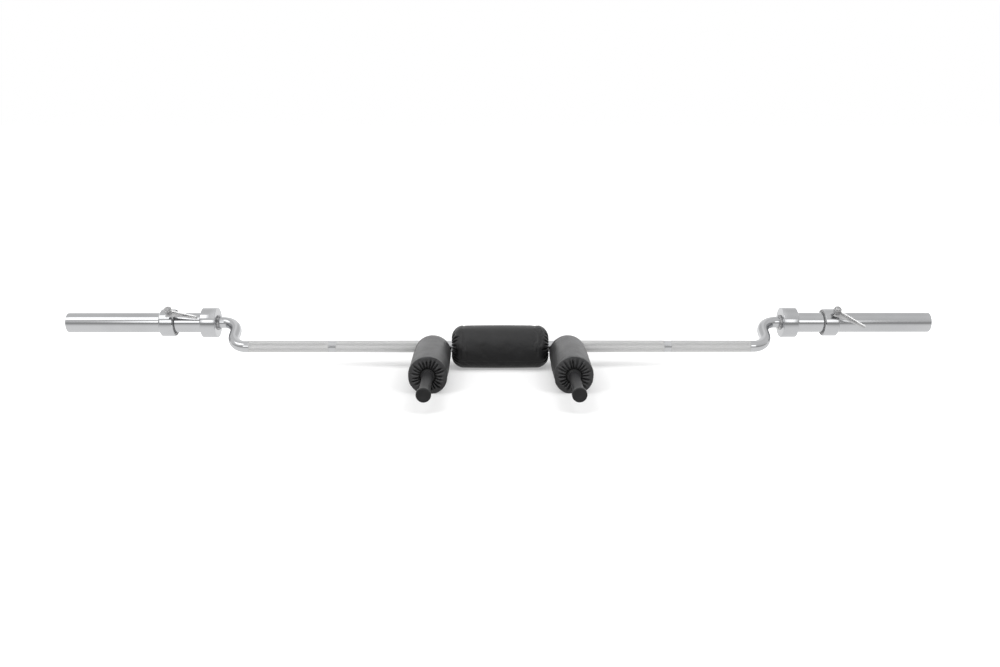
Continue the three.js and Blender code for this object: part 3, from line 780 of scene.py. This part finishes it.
def buildArm(side, word, shape):
    # rod: radius r round a line along Y whose back end follows the saddle
    low, high = boxOf(f"{word}_arm")
    middle = side * armX
    turn = fullTurn(shape["turns"])
    back = shaftAxis[0] - saddle(turn, armRadius)
    share = np.linspace(0, 1, shape["rings"])[:, None]
    front = low[1] + shape["endRound"]
    y = back * (1 - share) + front * share
    radius = np.full(y.shape, armRadius)
    y = np.concatenate([np.full((1, len(turn)), shaftAxis[0] - saddle(np.zeros(1), 0)[0]), y,
                        np.full((2, len(turn)), low[1])])
    shrink = np.array([armRadius - shape["endRound"], 0])[:, None]
    radius = np.concatenate([np.zeros((1, len(turn))), radius, np.broadcast_to(shrink, (2, len(turn)))])
    mesh = gridMesh(roundArm(middle, y, radius, turn))
    addPiece(f"{word}_arm_rod", mesh, barChrome, "bar", [f"{word}_arm"])

    # bead: ring of section r(turn) along the saddle, thinner where the rod passes under the bar
    turn, ring, section = beadRing(1.7 + side, beadShape)
    reach = saddle(turn, armRadius)
    seated = smoothStep(reach, shape["least"], shape["least"] + shape["beadRun"])
    section = section * (shape["beadLeast"] + shape["beadSwell"] * seated)
    radius = armRadius + shape["beadOut"] + section * np.cos(ring)
    y = shaftAxis[0] - reach - shape["beadFoot"] - section * np.sin(ring)
    mesh = gridMesh(roundArm(middle, y, radius, turn), True)
    addPiece(f"{word}_arm_bead", mesh, weldSteel, "bar", [f"{word}_arm_weld"], 0)


gripShape = {
    "flangeRadius": 0.0153, "flangeWidth": 0.0058, "tubeRadius": 0.0121, "bore": 0.0108, "capWidth": 0.011,
    "capRound": 0.003, "capWall": 0.0037, "waist": 0.0003, "waistRound": 0.2, "pip": 0.006,
    "pipDepth": 0.0004,
}


def buildGrip(side, word, shape):
    # stations count forward, along -Y; a shallow pip marks the middle of the closed end
    low, high = boxOf(f"{word}_grip")
    back, front = -high[1], -low[1]
    cap = front - shape["capWidth"]
    radius = (high[2] - low[2]) / 2
    flange = back + shape["flangeWidth"]
    inside = front - shape["capWall"]
    middle = (flange + cap) / 2
    pip = front - shape["pipDepth"]
    bore, flangeRadius, tube = shape["bore"], shape["flangeRadius"], shape["tubeRadius"]
    corners = [
        (back, bore, 0), (back, flangeRadius, 0.0009), (flange, flangeRadius, 0.0013), (flange, tube, 0.0011),
        (middle, tube - shape["waist"], shape["waistRound"]), (cap, tube, 0.0011), (cap, radius, 0.0016),
        (front, radius, shape["capRound"]), (front, shape["pip"], 0), (pip, shape["pip"] - 0.0008, 0),
        (pip, 0, 0), (inside, 0, 0), (inside, bore, 0), (back, bore, 0),
    ]
    mesh = turned(corners, (side * armX, 0, armZ), (0, -1, 0), upward, 112, 8)
    addPiece(f"{word}_handgrip", mesh, gripRubber, "bar", [f"{word}_grip"], 40)


for side, word in sides:
    buildArm(side, word, armShape)
    buildGrip(side, word, gripShape)
print("scene: arms and grips made")


# Padded covers: a sewn tube of vinyl over foam, gathered in pleats at both mouths round an elastic

padShapes = {
    "neck": {
        "length": 0.229, "radius": 0.0505, "crown": 0.0013, "endLength": 0.025, "endPower": 1.85,
        "mouth": 0.0192, "bore": 0.0149, "lowerPower": 2.5,
        "pleats": 24, "depth": 0.0035, "reach": 0.039, "sharp": 1.8, "fade": 1.3, "puff": 0.0026,
        "jitter": 0.3, "creases": 0.00012, "creaseReach": 0.05, "seam": math.radians(208), "seed": 5,
    },
    "shoulder": {
        "length": 0.202, "radius": 0.044, "crown": 0.0009, "endLength": 0.005, "endPower": 3.2,
        "mouth": 0.018, "bore": 0.0109, "lowerPower": 2.15,
        "pleats": 23, "depth": 0.005, "reach": 0.0245, "sharp": 1.2, "fade": 1.05, "puff": 0.0019,
        "jitter": 0.26, "creases": 0.00008, "creaseReach": 0.04, "seam": math.radians(262), "seed": 11,
    },
}
pleatShape = {  # how much the pleats differ from each other, as shares
    "columns": 8, "reach": (0.7, 1.1), "depth": (0.65, 1.1), "width": (0.7, 1.0), "narrowing": 0.25,
    "fadeFrom": 0.55, "steady": (0.5, 2.2),
}
creaseShape = {"waves": (5, 8, 13, 19), "drift": 14, "least": 0.35}
coverShape = {
    # how far from the mouth, or from the floor, the puff, the creases, the seam and the folds come in
    "puffRun": 0.006, "creaseRun": 0.02, "seamRun": 0.01, "restRun": 0.012, "restLift": 0.15,
    # shares: where the gathers begin to fade; of the pleats' depth, how far the wall and the foam lie inside
    "gatherFrom": 0.3, "wallInset": 0.4, "foamInset": 1.15, "foamRise": 1.6,
}
clothShape = {
    # spacing of the rows near the mouths and in the middle: of the skin, of its inner wall and of the foam
    "skinSteps": (0.0016, 0.0045), "wallSteps": (0.012, 0.03), "foamSteps": (0.004, 0.02),
    "stepChange": (0.035, 0.07), "skin": 0.0015, "frames": 20, "cap": 0.0022, "restHeight": 0.022,
    "seamDepth": 0.0009, "seamWidth": 0.0016, "clearance": 0.0001, "foamTurns": 96,
}
clothSettings = {
    "quality": 4, "mass": 0.25, "use_pressure": True, "uniform_pressure_force": 5.0, "tension_stiffness": 12,
    "compression_stiffness": 12, "bending_stiffness": 0.2, "vertex_group_mass": "pins", "shrink_min": -0.02,
}
elasticShape = {
    "radius": 0.0012, "gap": 0.0003, "setIn": 0.0024, "ripples": 46, "rippleDepth": 0.1, "turns": 192,
    "rings": 12,
}


def padProfile(shape, inset, steps, samples=(600, 400)):
    # each end is a superellipse: radius mouth + (full - mouth) sin^(2/p), station straight + end cos^(2/p);
    # the middle has a slight crown, and rows lie closer together near the mouths
    fine, coarse = steps
    half = shape["length"] / 2 - inset
    straight = half - shape["endLength"]
    turn = np.linspace(0, math.pi / 2, samples[0])
    power = 2 / shape["endPower"]
    end = straight + shape["endLength"] * np.cos(turn) ** power
    station = np.concatenate([-end, np.linspace(-straight, straight, samples[1] + 2)[1:-1], end[::-1]])
    rise = np.concatenate([np.sin(turn), np.ones(samples[1]), np.sin(turn[::-1])]) ** power
    full = shape["radius"] - inset - shape["crown"] * (station / half) ** 2
    radius = shape["mouth"] + (full - shape["mouth"]) * rise
    run = np.concatenate([[0], np.cumsum(np.hypot(np.diff(station), np.diff(radius)))])
    step = fine + (coarse - fine) * smoothStep(np.minimum(run, run[-1] - run), *clothShape["stepChange"])
    count = np.concatenate([[0], np.cumsum(np.diff(run) / step[1:])])
    places = np.interp(np.linspace(0, count[-1], int(round(count[-1])) + 1), count, run)
    return np.interp(places, run, station), np.interp(places, run, radius), places


def padSection(shape, station, radius, turn, floor):
    # a circle above, and a squarer half below, flat where it meets the floor
    cosine, sine = np.cos(turn), np.sin(turn)
    power = 2 / shape["lowerPower"]
    drop = radius * np.abs(sine) ** power
    sideways = np.where(sine >= 0, cosine, np.sign(cosine) * np.abs(cosine) ** power) * radius
    up = np.where(sine >= 0, radius * sine, -np.minimum(drop, floor))
    return np.stack([np.broadcast_to(station, sideways.shape), sideways, up], -1)


def gridNormals(grid):  # cross product of the steps along and round, out of the pad
    along = np.gradient(grid, axis=0)
    across = np.roll(grid, -1, 1) - np.roll(grid, 1, 1)
    normal = np.cross(across, along)
    return normal / np.maximum(np.linalg.norm(normal, axis=-1, keepdims=True), 1e-9)


def pleatFold(shape, spread, run, columns, rng):
    # sink = depth_k * (1 - |c - 8k| / width)^sharp * fade(run): a sharp valley on every eighth column, each
    # with its own depth, width and reach; wander = how far the column strays sideways
    per, count = spread["columns"], shape["pleats"]
    column = np.arange(columns)
    sink = np.zeros((len(run), columns))
    wander = np.zeros((len(run), columns))
    for distance in (run, run[-1] - run):
        reach = shape["reach"] * rng.uniform(*spread["reach"], count)
        depth = rng.uniform(*spread["depth"], count)
        width = rng.uniform(*spread["width"], count)
        shift = rng.uniform(-1, 1, count) * shape["jitter"] * 2 * math.pi / count
        near = distance[:, None]
        for k in range(count):
            away = np.abs((column - per * k + columns / 2) % columns - columns / 2) / (per / 2)
            narrow = width[k] * (1 - spread["narrowing"] * np.clip(near / reach[k], 0, 1))
            groove = np.clip(1 - away[None, :] / narrow, 0, 1) ** shape["sharp"]
            fade = 1 - smoothStep(near, reach[k] * spread["fadeFrom"], reach[k])
            sink = np.maximum(sink, depth[k] * groove * fade)
        begin, end = spread["steady"]
        steady = 1 - smoothStep(near, shape["reach"] * begin, shape["reach"] * end)
        wander += np.interp(column / per, np.arange(count + 1), [*shift, shift[0]])[None, :] * steady
    return sink, wander


def relaxCloth(grid, shape):
    # the open skin is blown up from inside while its mouths and its rest on the floor hold still
    mesh = gridMesh(grid)
    skin = linked("cloth", mesh)
    hold = 1 - smoothStep(grid[..., 2], 0.0, shape["restHeight"])
    hold[:2] = hold[-2:] = 1
    pins = skin.vertex_groups.new(name="pins")
    levels = np.round(hold.ravel(), 1)
    for level in np.unique(levels[levels > 0]):
        pins.add(np.nonzero(levels == level)[0].tolist(), float(level), "REPLACE")
    cloth = skin.modifiers.new("cloth", "CLOTH")
    for key, value in clothSettings.items():
        setattr(cloth.settings, key, value)
    cloth.settings.effector_weights.gravity = 0
    cloth.collision_settings.use_collision = False
    cloth.collision_settings.use_self_collision = False
    cloth.point_cache.frame_start = 1
    cloth.point_cache.frame_end = shape["frames"]
    for frameNumber in range(1, shape["frames"] + 1):
        bpy.context.scene.frame_set(frameNumber)
    settled = modified(skin)
    points = np.empty(grid.size)
    settled.vertices.foreach_get("co", points)
    bpy.data.meshes.remove(settled)
    bpy.context.scene.frame_set(1)
    bpy.data.objects.remove(skin)
    bpy.data.meshes.remove(mesh)
    move = points.reshape(grid.shape) - grid
    length = np.maximum(np.linalg.norm(move, axis=-1, keepdims=True), 1e-9)
    return grid + move / length * shape["cap"] * np.tanh(length / shape["cap"])  # nears the cap smoothly


def buildCover(name, node, shape, place, floor, finish):
    # the plain form, lifted between the pleats and sunk along them, settled as cloth, then seamed and walled
    rng = np.random.default_rng(shape["seed"])
    cloth, cover = clothShape, coverShape
    station, radius, run = padProfile(shape, 0.0, cloth["skinSteps"])
    columns = shape["pleats"] * pleatShape["columns"]
    sink, wander = pleatFold(shape, pleatShape, run, columns, rng)
    turn = fullTurn(columns)[None, :] + wander
    base = padSection(shape, station[:, None], radius[:, None], turn, floor)
    resting = smoothStep(base[..., 2], -floor, -floor + cover["restRun"])[..., None]
    normals = gridNormals(base)
    fromMouth = np.minimum(run, run[-1] - run)[:, None]
    gathered = 1 - smoothStep(fromMouth, shape["reach"] * cover["gatherFrom"], shape["reach"] * shape["fade"])
    puff = shape["puff"] * gathered * (1 - sink) * smoothStep(fromMouth, 0.0, cover["puffRun"])
    # faint creases that run from the gathers: a few waves round the pad which fade along it
    crease = np.zeros(sink.shape)
    for waves in creaseShape["waves"]:
        drift = rng.uniform(-creaseShape["drift"], creaseShape["drift"])
        phase = rng.uniform(0, 2 * math.pi)
        crease += np.sin(waves * turn + phase + drift * station[:, None]) / len(creaseShape["waves"])
    crease *= shape["creases"] * (creaseShape["least"] + np.exp(-fromMouth / shape["creaseReach"]))
    lift = puff - shape["depth"] * sink + crease * smoothStep(fromMouth, 0.0, cover["creaseRun"])
    outer = base + normals * lift[..., None] * (cover["restLift"] + (1 - cover["restLift"]) * resting)
    outer[..., 2] = np.maximum(outer[..., 2], -floor)
    world = place(outer)
    world = relaxCloth(world, cloth)
    # the seam that closes the tube: a groove along it
    seam = np.exp(-(((turn - shape["seam"]) * shape["radius"] / cloth["seamWidth"]) ** 2))
    inward = gridNormals(world)
    middle = world.mean(axis=(0, 1))
    facing = np.sign(np.sum(inward * (world - middle), axis=-1).mean())
    seam *= cloth["seamDepth"] * smoothStep(fromMouth, 0.0, cover["seamRun"])
    world = world - facing * inward * seam[..., None]
    world[..., 2] = np.maximum(world[..., 2], cloth["clearance"])
    # inner wall: the plain form, one skin and a share of the pleats' depth inside
    inset = cloth["skin"] + shape["depth"] * cover["wallInset"]
    station, radius, _ = padProfile(shape, inset, cloth["wallSteps"])
    plain = fullTurn(columns)[None, :]
    inner = padSection(shape, station[:, None], radius[:, None], plain, floor - cloth["skin"])
    mesh = gridMesh(np.concatenate([world, place(inner)[::-1]]), True)
    piece = addPiece(name, mesh, finish, "bar", [node], 0)
    smooth = piece.modifiers.new("smooth", "SUBSURF")
    smooth.levels = smooth.render_levels = 1


def buildFoam(name, node, shape, place, floor):
    # the form of the cover, set in by the skin and the pleats, with a bore for the rod
    cloth, cover = clothShape, coverShape
    turn = fullTurn(cloth["foamTurns"])[None, :]
    inset = cloth["skin"] + shape["depth"] * cover["foamInset"]
    station, radius, _ = padProfile(shape, inset, cloth["foamSteps"])
    rest = floor - cloth["skin"] * cover["foamRise"]
    outer = padSection(shape, station[:, None], radius[:, None], turn, rest)
    ends = station[[-1, 0]][:, None] * np.ones(cloth["foamTurns"])
    bore = shape["bore"] * np.ones((2, 1))
    inner = np.stack([ends, bore * np.cos(turn), bore * np.sin(turn)], -1)
    mesh = gridMesh(place(np.concatenate([outer, inner])), True)
    piece = addPiece(name, mesh, foamCore, "bar", [node], 50)


def buildElastic(name, node, shape, place, end, cord):
    # a cord gathered in small ripples: section r (1 - ripple), round the mouth
    turn = fullTurn(cord["turns"])[:, None]
    ring = fullTurn(cord["rings"])[None, :]
    section = cord["radius"] * (1 - cord["rippleDepth"] * np.sin(cord["ripples"] * turn) ** 2)
    radius = shape["mouth"] - cord["gap"] - cord["radius"] + section * np.cos(ring)
    station = end * (shape["length"] / 2 - cord["setIn"]) + section * np.sin(ring)
    grid = place(np.stack([station, radius * np.cos(turn), radius * np.sin(turn)], -1))
    addPiece(name, gridMesh(grid, True), elasticCord, "bar", [node], 0)


def placeNeck(points):
    return points + [0, shaftAxis[0], shaftAxis[1]]


def placeShoulder(side, word):
    middle = middleOf(f"{word}_shoulder_cover")[1]

    def place(points):
        return np.stack([side * armX + points[..., 1], middle - points[..., 0], armZ + points[..., 2]], -1)

    return place


shape, place, floor = padShapes["neck"], placeNeck, shaftAxis[1]
buildCover("neck_cushion", "neck_pad_cover", shape, place, floor, blackVinyl)
buildFoam("neck_core", "neck_pad_foam", shape, place, floor)
for end, where in sides:
    buildElastic(f"neck_cord_{where}", f"neck_pad_elastic_{where}", shape, place, end, elasticShape)
for side, word in sides:
    place = placeShoulder(side, word)
    shape = dict(padShapes["shoulder"], seed=padShapes["shoulder"]["seed"] + side)
    buildCover(f"{word}_cushion", f"{word}_shoulder_cover", shape, place, armZ, greyVinyl)
    buildFoam(f"{word}_core", f"{word}_shoulder_foam", shape, place, armZ)
    for end, where in ((1, "front"), (-1, "rear")):
        cordNode = f"{word}_shoulder_elastic_{where}"
        buildElastic(f"{word}_cord_{where}", cordNode, shape, place, end, elasticShape)
print("scene: covers and elastics made")


# Studio: a pale floor, two wide soft lamps in front and above, and the camera

stageLook = {
    # the floor: its tone as seen and as it lights the object; it glows as paper, more so away from the object
    "floorSize": 40, "floorTone": 0.7, "bounceTone": 0.16, "roughness": 0.6, "paper": 1.9, "share": 0.19,
    "nearEdge": 0.22, "farEdge": 1.2, "flatten": (1.25, 1, 1),
    # lamps: size, place, aim, power
    "lamps": {
        "overhead": ((3.4, 1.7), (0, -0.25, 2.3), (0, 0.02, 0), 48),
        "key_left": ((1.3, 1.3), (-1.75, -1.25, 1.9), (-0.3, 0.1, 0.05), 32),
        "key_right": ((1.3, 1.3), (1.75, -1.25, 1.9), (0.3, 0.1, 0.05), 32),
    },
    # the floor as the chrome mirrors it: where the pads shade it (y of the middle, two radii, what is left),
    # its brightness from 2 m in front of the bar to 1 m behind, the factor on that, and the share of it seen
    "shade": (0.09, 0.1, 0.34, 0.42),
    "floorShine": ((0.0, 0.21), (0.32, 0.23), (0.58, 0.38), (0.68, 0.53), (1, 0.58)),
    "shineScale": 2, "mirrorShare": 0.9, "diffuseWorld": 0.12, "roomScale": 2.0,
    # brightness of the room by angle from the front horizon, over the top, to the rear horizon, in degrees
    "room": ((-180, 0.45), (-12, 0.45), (-5, 0.22), (4, 0.2), (14, 0.24), (24, 0.34), (44, 0.38), (80, 0.41),
             (104, 0.38), (128, 0.38), (150, 0.46), (164, 0.6), (180, 0.7)),
    # bright panels that the chrome mirrors: angle from, angle to, share along the bar from, to, brightness
    "panels": ((13, 34, 0.215, 0.345, 1.6), (13, 31, -0.35, -0.2, 1.6), (47, 74, -0.7, -0.29, 1.6),
               (42, 150, -0.24, 0.24, 0.2)),
    "panelEdge": (2.5, 0.03),
}
view = {
    "pixels": 964.67, "width": 1000, "sensor": 36, "place": (-0.01932, -2.13334, 0.63461),
    "down": math.radians(13.72), "yaw": math.radians(0.48), "roll": math.radians(0.08),
}


def seenRays(tree):  # 1 for rays that show the background itself: camera, mirror and glass
    return {name: addNode(tree, "ShaderNodeLightPath", {}, {}, f"Is {name} Ray")
            for name in ("Camera", "Glossy", "Transmission")}


def buildFloor(look):
    finish = Finish("floor")
    path = seenRays(finish.tree)
    mirrored = path["Glossy"] + path["Transmission"]
    seen = path["Camera"] + mirrored
    spread = finish.add("ShaderNodeMapping", {}, {"Vector": finish.place, "Scale": look["flatten"]})
    away = finish.add("ShaderNodeVectorMath", {"operation": "LENGTH"}, [spread], "Value")
    share = seen * (look["share"] + (1 - look["share"]) * away.between(look["nearEdge"], look["farEdge"]))
    forward = finish.add("ShaderNodeSeparateXYZ", {}, [finish.place], "Y")
    shine = finish.add("ShaderNodeValToRGB", {"stops": look["floorShine"]}, [(forward + 2) / 3])
    middle, full, clear, left = look["shade"]
    centre = [finish.place, (0, middle, 0)]
    aside = finish.add("ShaderNodeVectorMath", {"operation": "DISTANCE"}, centre, "Value")
    shine = shine * (left + (1 - left) * aside.between(full, clear))
    tone = look["bounceTone"] + (look["floorTone"] - look["bounceTone"]) * path["Camera"]
    matt = finish.add("ShaderNodeBsdfPrincipled", {}, {
        "Base Color": tone, "Roughness": look["roughness"], "Specular IOR Level": 0.0})
    glow = path["Camera"] * look["paper"] + mirrored * (shine * look["shineScale"])
    paper = finish.add("ShaderNodeEmission", {}, {"Strength": glow})
    seenShare = share + mirrored * (look["mirrorShare"] - share)
    finish.surface(finish.add("ShaderNodeMixShader", {}, [seenShare, matt, paper]))
    half = look["floorSize"] / 2
    mesh = bpy.data.meshes.new("floor")
    corners = [(-half, -half, 0), (half, -half, 0), (half, half, 0), (-half, half, 0)]
    mesh.from_pydata(corners, [], [(0, 1, 2, 3)])
    mesh.materials.append(finish.material)
    linked("floor", mesh)


def buildWorld(look):
    world = bpy.data.worlds.new("room")
    world.use_nodes = True
    bpy.context.scene.world = world
    tree = world.node_tree
    tree.nodes.clear()
    way = addNode(tree, "ShaderNodeTexCoord", {}, {}, "Generated")
    split = {axis: addNode(tree, "ShaderNodeSeparateXYZ", {}, [way], axis) for axis in "XYZ"}
    angle = addNode(tree, "ShaderNodeMath", {"operation": "ARCTAN2"}, [split["Z"], 0 - split["Y"]])
    stops = [((degrees + 180) / 360, level) for degrees, level in look["room"]]
    room = addNode(tree, "ShaderNodeValToRGB", {"stops": stops}, [angle / (2 * math.pi) + 0.5])
    mirrored = room * look["roomScale"]
    degrees = angle * (180 / math.pi)
    edge, sideEdge = look["panelEdge"]
    for low, high, near, far, level in look["panels"]:
        tall = degrees.between(low - edge, low + edge) * (1 - degrees.between(high - edge, high + edge))
        wide = split["X"].between(near - sideEdge, near + sideEdge) * (
            1 - split["X"].between(far - sideEdge, far + sideEdge))
        mirrored = mirrored + tall * wide * level
    path = seenRays(tree)
    glossy = path["Glossy"] + path["Transmission"]
    level = path["Camera"] + (1 - path["Camera"]) * (glossy * mirrored + (1 - glossy) * look["diffuseWorld"])
    sky = addNode(tree, "ShaderNodeBackground", {}, {"Color": (1, 1, 1, 1), "Strength": level})
    addNode(tree, "ShaderNodeOutputWorld", {}, {"Surface": sky})


def buildLamps(look):
    for name, (size, place, aim, power) in look["lamps"].items():
        lamp = bpy.data.lights.new(name, "AREA")
        lamp.shape = "RECTANGLE"
        lamp.size, lamp.size_y = size
        lamp.energy = power
        holder = linked(name, lamp)
        holder.visible_glossy = False
        back = unit(np.array(place) - np.array(aim))
        right = unit(np.cross([0, 1, 0], back))
        holder.matrix_world = placedMatrix(right, np.cross(back, right), back, place)


def buildCamera(look):
    down, yaw, roll = look["down"], look["yaw"], look["roll"]
    level = np.array([math.sin(yaw), math.cos(yaw), 0])
    forward = level * math.cos(down) - np.array([0, 0, math.sin(down)])
    flatRight = np.array([math.cos(yaw), -math.sin(yaw), 0])
    flatUp = np.cross(flatRight, forward)
    right = flatRight * math.cos(roll) + flatUp * math.sin(roll)
    up = flatUp * math.cos(roll) - flatRight * math.sin(roll)
    lens = bpy.data.cameras.new("camera")
    lens.sensor_width = look["sensor"]
    lens.lens = look["pixels"] / look["width"] * look["sensor"]
    lens.clip_end = 200
    camera = linked("camera", lens)
    camera.matrix_world = placedMatrix(right, up, -forward, look["place"])
    bpy.context.scene.camera = camera


buildFloor(stageLook)
buildWorld(stageLook)
buildLamps(stageLook)
buildCamera(view)
bpy.context.scene.view_settings.view_transform = "Standard"
print("scene: studio and camera made")
